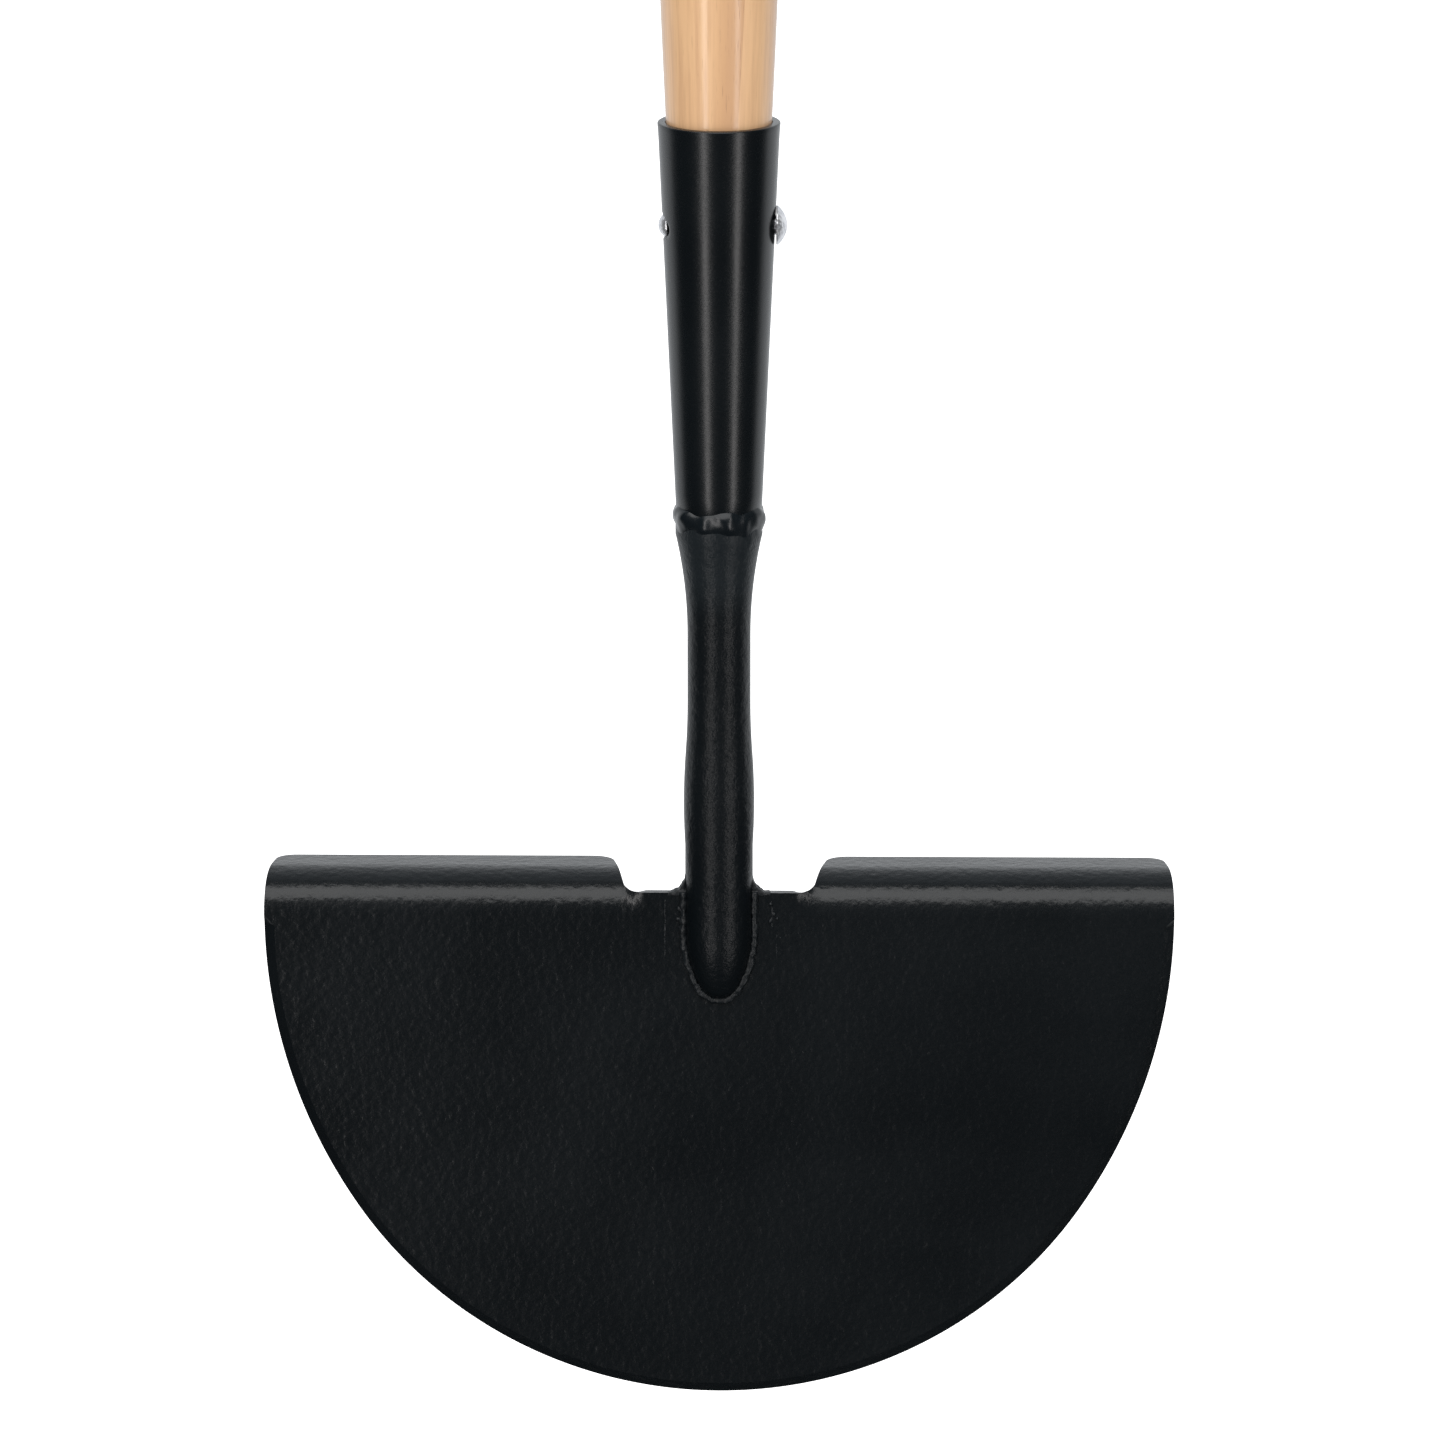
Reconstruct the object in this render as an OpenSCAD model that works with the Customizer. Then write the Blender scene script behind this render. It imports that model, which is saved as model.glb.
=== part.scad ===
// Half-moon lawn edger: a rounded steel blade with two folded foot treads,
// a swaged tubular stem welded astride the blade, a tapered socket welded to
// the stem, and an ash handle held in the socket by one rivet.
// Millimetres. +Z runs up the handle and the blade's front faces -Y. The
// origin is the lowest point of the cutting edge, on the tool's axis.

/* [Piece] */
// Piece to draw

/* [Blade] */
// Width across the blade at its widest
blade_w = 228.6; // [220:0.1:236]
// Height of the fold line, which is also where the blade is widest
fold_z = 124.5; // [120:0.5:130]
// Radius of each long side arc of the outline
side_arc_r = 136; // [134:0.5:142]
// Thickness of the plate
plate_t = 2.7; // [2.4:0.1:3.2]
// Width of the ground bevel along the cutting edge
bevel_w = 2.3; // [1:0.1:4]
// Depth that the bevel takes off the plate's front
bevel_d = 1.5; // [0.5:0.1:2]

/* [Foot treads] */
// Outside radius of the tight bend, where the fold begins
fold_r = 9; // [8:0.1:10]
// Angle that the tight bend takes up, before the gentle bend takes over
tight_turn = 65; // [55:1:75]
// Outside radius of the gentle bend that brings the tread level
gentle_r = 20; // [16:0.5:22]
// Distance of the treads' back edge behind the tool's axis
tread_back_y = 21.6; // [20.4:0.1:26]
// Rounding of each tread's outer back corner
tread_outer_r = 5; // [3:0.5:7]
// Rounding of each tread's inner back corner
tread_inner_r = 5.5; // [3:0.5:7]
// Half the gap between the treads, at the fold
notch_half_front = 23.6; // [20:0.1:25]
// Half the gap between the treads, where their back corners begin
notch_half_back = 26.7; // [25.4:0.1:28]
// Height of the plate's top edge in the notch
notch_z = 130.8; // [129:0.1:132]

/* [Stem] */
// Radius of the stem's waist
waist_r = 7.88; // [7.5:0.01:8.2]
// Radius of the swell below the waist
swell_r = 8.83; // [8.6:0.01:9]
// Height of the swell's middle
swell_z = 154; // [152:0.5:156]
// Height at which the waist ends and the flare begins
flare_z = 197; // [195:0.5:200]
// Radius of the flare's curve
flare_arc_r = 115; // [110:1:125]
// Height of the collar above the flare
collar_z = 223; // [222:0.5:224]
// Height of the stem's top end
stem_top_z = 227; // [226.5:0.1:227.5]
// Radius of the bore through the stem
stem_bore_r = 5.9; // [5:0.1:6.2]
// Height at which the nose begins to close
nose_z = 120.5; // [119:0.5:122]
// Length of the nose, down to its tip
nose_len = 17.4; // [16:0.1:19]
// Radius of the nose's side curve
nose_arc_r = 30; // [28:0.5:32]

/* [Welds] */
// Width of the fillet weld along the stem
fillet_w = 1.7; // [1:0.1:2.5]
// Thickness of the fillet weld on the plate
fillet_t = 1.3; // [0.8:0.1:2]
// Fillet between the stem and the plate's top edge
notch_fillet_r = 2.8; // [2:0.1:4]
// Radius of the ring weld's section
ring_bead_r = 4; // [3.8:0.1:4.4]
// Largest radius of the ring weld
ring_weld_r = 11.65; // [11.4:0.05:11.8]

/* [Socket] */
// Height of the socket's bottom end
socket_bottom_z = 228; // [227.8:0.1:229]
// Height of the socket's rim
rim_z = 327; // [322:0.5:332]
// Outside radius at the bottom end
socket_bottom_r = 10.65; // [10.4:0.01:10.7]
// Outside radius at the rim
rim_r = 15.15; // [15:0.05:15.4]
// Wall thickness
socket_wall = 2; // [1.8:0.1:2.2]
// Width and depth of the butt seam's groove down the back
seam_w = 0.6; // [0.4:0.1:1]

/* [Rivet] */
// Height of the rivet
rivet_z = 301; // [298:0.5:304]
// Radius of the shank
shank_r = 2.4; // [2:0.1:2.6]
// Radius of the factory head
head_r = 4.9; // [4.5:0.1:5.2]
// Height of the factory head
head_h = 2.7; // [2.2:0.1:3]
// Radius of the set head
set_head_r = 3.85; // [3.5:0.05:4]
// Height of the set head
set_head_h = 2.3; // [2:0.1:2.5]
// Depth of the dimple under the set head
dimple_depth = 1.25; // [1:0.05:1.4]

/* [Handle] */
// Length of the ash handle
handle_len = 1219; // [1100:1:1400]
// Radius of the handle's straight shaft
shaft_r = 16; // [15.5:0.1:16.5]
// Height of the handle's bottom end, inside the socket
handle_bottom_z = 238; // [236:0.5:245]
// Radius of the long curve that eases the taper into the shaft
ease_r = 1960; // [1700:10:2200]
// Rounding of the handle's top end
end_round_r = 12; // [8:0.5:14]

/* [Hidden] */
$fn = 96;
half_w = blade_w / 2;
half_t = plate_t / 2;
beyond = 400;

// Outline of the blade: one arc at the tip, tangent to an arc at each side.
side_x = side_arc_r - half_w;
tip_arc_r = (side_arc_r^2 - side_x^2 - fold_z^2) / (2 * (side_arc_r - fold_z));
join_slope = (fold_z - tip_arc_r) / side_x;

// Folded treads.
gentle_turn = 90 - tight_turn;
fold_y = fold_r - half_t;
level_y = fold_y + (gentle_r - fold_r) * cos(tight_turn);
gentle_z = fold_z - (gentle_r - fold_r) * sin(tight_turn);
tread_top_z = gentle_z + gentle_r;
tight_len = (fold_r - half_t) * tight_turn * PI / 180;
gentle_len = (gentle_r - half_t) * gentle_turn * PI / 180;
plan_y = level_y - tight_len - gentle_len;
tab_lap = 0.3;
corner_run = side_arc_r - tread_outer_r;
corner_y = tread_back_y - tread_outer_r;
corner_x = sqrt(corner_run^2 - (corner_y - plan_y)^2) - side_x;
corner_join_x = (corner_x + side_x) * side_arc_r / corner_run - side_x;
corner_join_y = (corner_y - plan_y) * side_arc_r / corner_run + plan_y;

// Curves of the stem.
swell_rise = swell_r - waist_r;
swell_run = 13;
neck_half = 2;
neck_run = swell_run - neck_half;
swell_arc_r = (swell_run^2 + (swell_rise / 2)^2) / swell_rise;
swell_bottom_z = swell_z - 11;
neck_drop = swell_arc_r - sqrt(swell_arc_r^2 - neck_run^2);
neck_z = swell_z + neck_run;
lower_r = swell_r - swell_arc_r + sqrt(swell_arc_r^2 - (swell_z - swell_bottom_z)^2);
bore_close_len = 3.5;
collar_r = waist_r + flare_arc_r - sqrt(flare_arc_r^2 - (collar_z - flare_z)^2);

// Socket taper, shared by the handle.
taper = (rim_r - socket_bottom_r) / (rim_z - socket_bottom_z);
rivet_socket_r = socket_bottom_r + taper * (rivet_z - socket_bottom_z);
set_seat_x = rivet_socket_r - dimple_depth;
head_seat_x = rivet_socket_r + taper * head_r + 0.02;

// Handle.
taper_angle = atan(taper);
ease_join_r = shaft_r - ease_r * (1 - cos(taper_angle));
ease_join_z = rim_z + (ease_join_r - rim_r + socket_wall) / taper;
ease_top_z = ease_join_z + ease_r * sin(taper_angle);
handle_top_z = handle_bottom_z + handle_len;

// Inner radius of the socket, and so the handle's radius, at a height.
function fit_r(z) = socket_bottom_r - socket_wall + taper * (z - socket_bottom_z);

// ---- blade ----

// Round plate lying across Y, with the cutting bevel on its front edge.
module bevelled_disc(x, z, r) {
  translate([x, -half_t, z])
    rotate([-90, 0, 0]) {
      cylinder(h = bevel_d, r1 = r - bevel_w, r2 = r, $fn = 360);
      translate([0, 0, bevel_d])
        cylinder(h = plate_t - bevel_d, r = r, $fn = 360);
    }
}

// Wedge below the tip arc's centre that holds the tip arc and nothing else.
module tip_wedge() {
  rotate([90, 0, 0])
    linear_extrude(height = 4 * plate_t, center = true)
      polygon([
        [0, tip_arc_r],
        [beyond, tip_arc_r - beyond * join_slope],
        [-beyond, tip_arc_r - beyond * join_slope]
      ]);
}

module flat_plate() {
  intersection() {
    bevelled_disc(0, tip_arc_r, tip_arc_r);
    tip_wedge();
  }
  difference() {
    intersection() {
      bevelled_disc(-side_x, fold_z, side_arc_r);
      bevelled_disc(side_x, fold_z, side_arc_r);
      translate([-half_w - 1, -plate_t, -1])
        cube([blade_w + 2, 2 * plate_t, fold_z + 1]);
    }
    tip_wedge();
  }
}

// Tab of flat plate that stands between the treads and carries the stem.
module notch_tab() {
  translate([-notch_half_front - tab_lap, -half_t, fold_z - 1])
    cube([2 * (notch_half_front + tab_lap), plate_t, notch_z - fold_z + 1]);
}

// All that lies under the fold's outside, brought in by a depth.
module under_fold(depth) {
  translate([fold_y, fold_z])
    circle(r = fold_r - depth, $fn = 180);
  translate([level_y, gentle_z])
    intersection() {
      circle(r = gentle_r - depth, $fn = 180);
      polygon([
        [0, 0],
        [-2 * gentle_r * cos(tight_turn), 2 * gentle_r * sin(tight_turn)],
        [0, 2 * gentle_r]
      ]);
    }
}

// Section of the plate through the fold and the tread, in Y and Z.
module fold_section() {
  intersection() {
    difference() {
      under_fold(0);
      under_fold(plate_t);
    }
    translate([-plate_t, fold_z])
      square([level_y + plate_t, 2 * fold_r]);
  }
  translate([level_y, tread_top_z - plate_t])
    square([tread_back_y - level_y, plate_t]);
}

// The right tread seen from above, with its rounded corners.
module tread_plan() {
  intersection() {
    translate([-side_x, plan_y])
      circle(r = side_arc_r, $fn = 360);
    polygon([
      [notch_half_front, -fold_r],
      [half_w + fold_r, -fold_r],
      [half_w + fold_r, corner_join_y],
      [corner_join_x, corner_join_y],
      [corner_x, tread_back_y],
      [notch_half_back + tread_inner_r, tread_back_y],
      [notch_half_back, tread_back_y - tread_inner_r],
      [notch_half_front, plate_t]
    ]);
  }
  translate([corner_x, corner_y])
    circle(r = tread_outer_r);
  translate([notch_half_back + tread_inner_r, tread_back_y - tread_inner_r])
    circle(r = tread_inner_r);
}

module right_tread() {
  intersection() {
    rotate([90, 0, 90])
      linear_extrude(height = half_w + 1)
        fold_section();
    translate([0, 0, fold_z])
      linear_extrude(height = 2 * fold_r)
        tread_plan();
  }
}

module blade() {
  color("#25292c") {
    flat_plate();
    notch_tab();
    right_tread();
    mirror([1, 0, 0])
      right_tread();
  }
}

// ---- stem ----

// Rounded nose in radius and height, grown all round by a margin.
module nose_section(margin) {
  side_r = nose_arc_r + margin;
  side_centre = lower_r - nose_arc_r;
  depth = nose_len + margin;
  tip_r = (side_r^2 - side_centre^2 - depth^2) / (2 * (side_r - depth));
  tip_z = nose_z - depth + tip_r;
  slope = (nose_z - tip_z) / -side_centre;
  intersection() {
    translate([side_centre, nose_z])
      circle(r = side_r, $fn = 180);
    polygon([
      [0, nose_z],
      [0, tip_z],
      [2 * lower_r, tip_z - 2 * lower_r * slope],
      [3 * lower_r, nose_z]
    ]);
  }
  intersection() {
    translate([0, tip_z])
      circle(r = tip_r);
    translate([0, tip_z - 2 * tip_r])
      square([2 * tip_r, 4 * tip_r]);
  }
}

// Outside of the stem, in radius and height.
module stem_section() {
  nose_section(0);
  translate([0, nose_z])
    square([lower_r, swell_bottom_z - nose_z]);
  intersection() {
    translate([0, swell_bottom_z])
      square([2 * swell_r, neck_z - swell_bottom_z]);
    translate([swell_r - swell_arc_r, swell_z])
      circle(r = swell_arc_r, $fn = 360);
  }
  polygon([
    [0, neck_z],
    [swell_r - neck_drop, neck_z],
    [waist_r + neck_drop, neck_z + 2 * neck_half],
    [0, neck_z + 2 * neck_half]
  ]);
  difference() {
    translate([0, neck_z + 2 * neck_half])
      square([2 * swell_r, neck_run]);
    translate([waist_r + swell_arc_r, swell_z + 2 * swell_run])
      circle(r = swell_arc_r, $fn = 360);
  }
  translate([0, swell_z + 2 * swell_run])
    square([waist_r, flare_z - swell_z - 2 * swell_run]);
  difference() {
    translate([0, flare_z])
      square([2 * collar_r, collar_z - flare_z]);
    translate([waist_r + flare_arc_r, flare_z])
      circle(r = flare_arc_r, $fn = 360);
  }
  translate([0, collar_z])
    square([collar_r, stem_top_z - collar_z]);
}

module stem_outside() {
  rotate_extrude($fn = 96)
    stem_section();
}

// Hollow of the stem: a closed bottom, a straight bore and a flared mouth.
module stem_hollow() {
  mouth_r = socket_bottom_r - socket_wall;
  rotate_extrude($fn = 96)
    polygon([
      [0, nose_z - 2 * bore_close_len],
      [stem_bore_r / 2, nose_z - 2 * bore_close_len],
      [stem_bore_r, nose_z - bore_close_len],
      [stem_bore_r, flare_z],
      [mouth_r, collar_z],
      [mouth_r, stem_top_z + 1],
      [0, stem_top_z + 1]
    ]);
}

module stem() {
  color("#2a2e31")
    difference() {
      stem_outside();
      stem_hollow();
      translate([-3 * lower_r, -half_t, 0])
        cube([6 * lower_r, plate_t, notch_z]);
    }
}

// ---- welds ----

// Bead round the stem's nose, up its sides and over the plate's top edge.
module face_bead() {
  top_z = notch_z + fillet_t;
  intersection() {
    rotate_extrude($fn = 96) {
      nose_section(fillet_w);
      translate([0, nose_z])
        square([lower_r + fillet_w, top_z - nose_z]);
    }
    translate([-3 * lower_r, -half_t - fillet_t, 0])
      cube([6 * lower_r, plate_t + 2 * fillet_t, top_z]);
  }
}

// Fillet that closes the corner between the stem and the plate's top edge.
module edge_fillet() {
  toe_x = lower_r + notch_fillet_r;
  difference() {
    translate([0, -half_t, notch_z])
      cube([toe_x, plate_t, notch_fillet_r]);
    translate([toe_x, 0, notch_z + notch_fillet_r])
      rotate([90, 0, 0])
        cylinder(h = 2 * plate_t, r = notch_fillet_r - 0.2, center = true);
  }
}

module blade_weld() {
  color("#303437")
    difference() {
      union() {
        face_bead();
        edge_fillet();
        mirror([1, 0, 0])
          edge_fillet();
      }
      stem_outside();
      translate([-3 * lower_r, -half_t, 0])
        cube([6 * lower_r, plate_t, notch_z]);
    }
}

// Ring of weld metal that fills the joint between stem and socket.
module socket_weld() {
  bead_centre_r = ring_weld_r - ring_bead_r;
  bead_z = (stem_top_z + socket_bottom_z) / 2 - 0.1;
  root_r = socket_bottom_r - socket_wall;
  color("#303437")
    difference() {
      union() {
        rotate_extrude($fn = 96)
          intersection() {
            translate([bead_centre_r, bead_z])
              circle(r = ring_bead_r);
            translate([root_r, bead_z - ring_bead_r])
              square([ring_bead_r, 2 * ring_bead_r]);
          }
      }
      translate([0, 0, stem_top_z - 2 * ring_bead_r])
        cylinder(h = 2 * ring_bead_r, r = collar_r);
      socket_outside();
      translate([0, 0, bead_z - ring_bead_r - 1])
        cylinder(h = 2 * ring_bead_r + 2, r = root_r);
    }
}

// ---- socket ----

module socket_outside() {
  translate([0, 0, socket_bottom_z])
    cylinder(h = rim_z - socket_bottom_z, r1 = socket_bottom_r, r2 = rim_r);
}

module rivet_shank() {
  translate([-set_seat_x, 0, rivet_z])
    rotate([0, 90, 0])
      cylinder(h = set_seat_x + head_seat_x, r = shank_r, $fn = 48);
}

// Dimple that was pressed in when the rivet's end was set.
module set_dimple() {
  translate([-set_seat_x, 0, rivet_z])
    rotate([0, -90, 0]) {
      cylinder(h = 4 * dimple_depth, r = set_head_r, $fn = 48);
      translate([0, 0, 0.2])
        cylinder(h = 2 * dimple_depth, r1 = set_head_r, r2 = set_head_r + 3);
    }
}

module socket() {
  color("#25292c")
    difference() {
      socket_outside();
      translate([0, 0, socket_bottom_z - 1])
        cylinder(
          h = rim_z - socket_bottom_z + 2,
          r1 = fit_r(socket_bottom_z - 1),
          r2 = fit_r(rim_z + 1)
        );
      translate([-seam_w / 2, 0, socket_bottom_z])
        rotate([-atan(taper), 0, 0])
          translate([0, socket_bottom_r - seam_w, 4])
            cube([seam_w, 4 * seam_w, rim_z - socket_bottom_z + 4]);
      rivet_shank();
      set_dimple();
    }
}

// ---- rivet ----

// Domed head of a given base radius and height, standing on z = 0.
module dome(base_r, height) {
  ball_r = (base_r^2 + height^2) / (2 * height);
  intersection() {
    translate([0, 0, height - ball_r])
      sphere(r = ball_r, $fn = 72);
    cylinder(h = 2 * height, r = 2 * base_r);
  }
}

module rivet() {
  color("#c9cacb") {
    rivet_shank();
    translate([head_seat_x, 0, rivet_z])
      rotate([0, 90, 0])
        dome(head_r, head_h);
    translate([-set_seat_x, 0, rivet_z])
      rotate([0, -90, 0])
        dome(set_head_r, set_head_h);
  }
}

// ---- handle ----

// Half of the handle's lengthwise section, in radius and height.
module handle_section() {
  polygon([
    [0, handle_bottom_z],
    [fit_r(handle_bottom_z), handle_bottom_z],
    [ease_join_r, ease_join_z],
    [0, ease_join_z]
  ]);
  intersection() {
    translate([0, ease_join_z])
      square([2 * shaft_r, ease_top_z - ease_join_z]);
    translate([shaft_r - ease_r, ease_top_z])
      circle(r = ease_r, $fn = 1440);
  }
  translate([0, ease_top_z])
    square([shaft_r, handle_top_z - end_round_r - ease_top_z]);
  translate([0, handle_top_z - end_round_r])
    square([shaft_r - end_round_r, end_round_r]);
  intersection() {
    translate([shaft_r - end_round_r, handle_top_z - end_round_r])
      circle(r = end_round_r);
    translate([shaft_r - end_round_r, handle_top_z - end_round_r])
      square([end_round_r, end_round_r]);
  }
}

module handle() {
  color("#d8b187")
    difference() {
      rotate_extrude($fn = 96)
        handle_section();
      rivet_shank();
    }
}

blade();
stem();
blade_weld();
socket_weld();
socket();
rivet();
handle();
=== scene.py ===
import math
import bpy
import bmesh
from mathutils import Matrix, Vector


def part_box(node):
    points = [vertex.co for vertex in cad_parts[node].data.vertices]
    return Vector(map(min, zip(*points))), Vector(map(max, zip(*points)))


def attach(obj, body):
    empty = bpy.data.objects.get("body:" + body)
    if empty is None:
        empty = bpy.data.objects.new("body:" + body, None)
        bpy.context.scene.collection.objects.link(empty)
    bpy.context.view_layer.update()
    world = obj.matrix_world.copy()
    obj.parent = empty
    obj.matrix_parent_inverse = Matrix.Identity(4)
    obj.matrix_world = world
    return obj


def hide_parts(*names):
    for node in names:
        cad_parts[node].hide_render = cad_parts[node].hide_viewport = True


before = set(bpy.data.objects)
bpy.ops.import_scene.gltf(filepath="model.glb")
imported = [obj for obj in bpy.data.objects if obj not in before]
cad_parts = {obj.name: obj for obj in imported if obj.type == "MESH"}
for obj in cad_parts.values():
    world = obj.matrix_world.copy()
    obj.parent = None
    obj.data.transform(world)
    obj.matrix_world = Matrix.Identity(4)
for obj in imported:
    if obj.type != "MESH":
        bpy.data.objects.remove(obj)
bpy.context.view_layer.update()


# ---- blade ----
# One piece of spring steel plate, blanked to a half moon with a notch in its
# top. The top is folded back on a press brake into two foot treads, the round
# edge is ground thin from the front, and all of it is powder coated black.
MM = 0.001
blade_low, blade_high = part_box("blade")
HALF_W = blade_high.x
FACE_Y = blade_low.y
PLATE_T = -2 * FACE_Y
FOLD_Z = 124.5 * MM
SIDE_R = 136 * MM
SIDE_X = SIDE_R - HALF_W
TIP_R = (SIDE_R**2 - SIDE_X**2 - FOLD_Z**2) / (2 * (SIDE_R - FOLD_Z))
GROUND_W = 2.5 * MM
GROUND_D = 1.5 * MM

# The press bends the plate tightly first, then more gently up to the level.
TIGHT_R = 9 * MM
TIGHT_TURN = 65
TIGHT_ROWS = 9
GENTLE_R = 20 * MM
GENTLE_TURN = 90 - TIGHT_TURN
GENTLE_ROWS = 5
tight_step = TIGHT_TURN / TIGHT_ROWS
gentle_step = GENTLE_TURN / GENTLE_ROWS
tight_chord = 2 * TIGHT_R * math.sin(math.radians(tight_step / 2))
gentle_chord = 2 * GENTLE_R * math.sin(math.radians(gentle_step / 2))
level_y = FACE_Y + TIGHT_R - (TIGHT_R - GENTLE_R) * math.cos(math.radians(TIGHT_TURN))
TREAD_BACK_Y = blade_high.y
BLANK_TOP = FOLD_Z + TIGHT_ROWS * tight_chord + GENTLE_ROWS * gentle_chord
BLANK_TOP += TREAD_BACK_Y - level_y

# The notch, on the flat blank.
NOTCH_Z = 130.8 * MM
NOTCH_HALF = 23.6 * MM
NOTCH_LEAN = math.atan(0.18)
NOTCH_R = 3.8 * MM
OUTER_R = 5 * MM
INNER_R = 5.5 * MM
STAYS_FLAT_X = 18.5 * MM
FOLDS_FULLY_X = 25 * MM


def open_up(piece):
    """Makes one piece the only selected one and opens it for editing."""
    bpy.ops.object.select_all(action="DESELECT")
    piece.select_set(True)
    bpy.context.view_layer.objects.active = piece
    bpy.ops.object.mode_set(mode="EDIT")


def pick(piece, kind, test):
    """Selects the vertices, edges or faces of the open piece that pass a test."""
    bpy.ops.mesh.select_mode(type=kind)
    bpy.ops.mesh.select_all(action="DESELECT")
    shape = bmesh.from_edit_mesh(piece.data)
    parts = {"VERT": shape.verts, "EDGE": shape.edges, "FACE": shape.faces}[kind]
    for part in parts:
        if test(part):
            part.select_set(True)
    shape.select_flush_mode()
    bmesh.update_edit_mesh(piece.data)


def start_point(name, place):
    """A new piece that begins as one point, open for editing."""
    bpy.ops.object.select_all(action="DESELECT")
    bpy.ops.mesh.primitive_plane_add(size=MM, location=place)
    bpy.ops.object.transform_apply(location=True, rotation=True, scale=True)
    piece = bpy.context.object
    piece.name = name
    bpy.ops.object.mode_set(mode="EDIT")
    bpy.ops.mesh.merge(type="CENTER")
    return piece


def line_by(x, z):
    """Pulls a straight line out of the selected point."""
    bpy.ops.mesh.extrude_region_move(TRANSFORM_OT_translate={"value": (x, 0, z)})


def arc_round(x, y, z, turn, steps):
    """Spins the selected point round a centre, anticlockwise seen from the front."""
    axis = (0, math.copysign(1, turn), 0)
    bpy.ops.mesh.spin(steps=steps, angle=math.radians(abs(turn)), center=(x, y, z), axis=axis)


def finish_with(piece, kind, settings):
    """Adds a modifier with its settings and applies it."""
    made = piece.modifiers.new(kind.title(), kind)
    for name, value in settings.items():
        setattr(made, name, value)
    bpy.ops.object.select_all(action="DESELECT")
    piece.select_set(True)
    bpy.context.view_layer.objects.active = piece
    bpy.ops.object.modifier_apply(modifier=made.name)


def smooth(piece, angle):
    """Smooth shading, with creases kept where faces meet at more than an angle."""
    bpy.ops.object.select_all(action="DESELECT")
    piece.select_set(True)
    bpy.context.view_layer.objects.active = piece
    bpy.ops.object.shade_smooth_by_angle(angle=math.radians(angle))


def notch_side_x(z):
    """Where the notch's leaning side is, at a height on the flat blank."""
    return NOTCH_HALF + math.tan(NOTCH_LEAN) * (z - NOTCH_Z)


# Right half of the outline: tip arc, side arc, back corner, notch.
tip_turn = 90 - math.degrees(math.atan2(FOLD_Z - TIP_R, SIDE_X))
corner_rise = BLANK_TOP - OUTER_R - FOLD_Z
corner_turn = math.degrees(math.asin(corner_rise / (SIDE_R - OUTER_R)))
outer_x = (SIDE_R - OUTER_R) * math.cos(math.radians(corner_turn)) - SIDE_X
lean = math.degrees(NOTCH_LEAN)
side_over = math.sin(NOTCH_LEAN)
side_along = math.cos(NOTCH_LEAN)
inner_z = BLANK_TOP - INNER_R
inner_x = notch_side_x(inner_z + INNER_R * side_over) + INNER_R * side_along
notch_corner_z = NOTCH_Z + NOTCH_R
notch_corner_x = notch_side_x(notch_corner_z - NOTCH_R * side_over) - NOTCH_R * side_along
side_top = Vector((inner_x - INNER_R * side_along, inner_z + INNER_R * side_over))
side_bottom = Vector((notch_corner_x + NOTCH_R * side_along, notch_corner_z - NOTCH_R * side_over))

blade = start_point("blade_plate", (0, FACE_Y, 0))
arc_round(0, FACE_Y, TIP_R, tip_turn, 48)
arc_round(-SIDE_X, FACE_Y, FOLD_Z, 90 - tip_turn, 36)
arc_round(-SIDE_X, FACE_Y, FOLD_Z, corner_turn, 10)
arc_round(outer_x, FACE_Y, BLANK_TOP - OUTER_R, 90 - corner_turn, 10)
line_by(inner_x - outer_x, 0)
arc_round(inner_x, FACE_Y, inner_z, 90 - lean, 10)
line_by(*(side_bottom - side_top))
arc_round(notch_corner_x, FACE_Y, notch_corner_z, lean - 90, 8)
line_by(-notch_corner_x, 0)
bpy.ops.mesh.select_all(action="SELECT")
bpy.ops.mesh.duplicate_move()
bpy.ops.transform.resize(value=(-1, 1, 1), center_override=(0, 0, 0))
bpy.ops.mesh.select_all(action="SELECT")
bpy.ops.mesh.remove_doubles(threshold=0.01 * MM)
bpy.ops.mesh.edge_face_add()
pick(blade, "FACE", lambda face: face.normal.y > 0)
bpy.ops.mesh.flip_normals()

# The ground edge is a strip inset from the outline, below the fold.
bpy.ops.mesh.select_all(action="SELECT")
bpy.ops.mesh.bisect(plane_co=(0, 0, FOLD_Z), plane_no=(0, 0, 1))
pick(blade, "FACE", lambda face: face.calc_center_median().z < FOLD_Z)
bpy.ops.mesh.inset(thickness=GROUND_W)
crest_z = FOLD_Z - GROUND_W
pick(blade, "EDGE", lambda edge: all(abs(v.co.z - crest_z) < 0.1 * MM for v in edge.verts)
     and edge.calc_length() > HALF_W)
bpy.ops.mesh.dissolve_edges(use_verts=False)
pick(blade, "VERT", lambda v: v.is_boundary and v.co.z < FOLD_Z - MM)
blade.vertex_groups.new(name="cutting edge")
bpy.ops.object.vertex_group_assign()

# Rows for the fold and columns for the places where it runs out at the notch.
rows = [(FOLD_Z, tight_step / 2)]
for n in range(1, TIGHT_ROWS):
    rows.append((FOLD_Z + n * tight_chord, tight_step))
rows.append((FOLD_Z + TIGHT_ROWS * tight_chord, (tight_step + gentle_step) / 2))
for n in range(1, GENTLE_ROWS):
    rows.append((rows[TIGHT_ROWS][0] + n * gentle_chord, gentle_step))
rows.append((rows[TIGHT_ROWS][0] + GENTLE_ROWS * gentle_chord, gentle_step / 2))
for row_z, turn in rows[1:]:
    pick(blade, "FACE", lambda face: face.calc_center_median().z > FOLD_Z)
    bpy.ops.mesh.bisect(plane_co=(0, 0, row_z), plane_no=(0, 0, 1))
COLUMNS = (18.5, 19.5, 20.5, 21.5, 22.5, 23.5, 25, 26.5, 60, 90)
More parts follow.
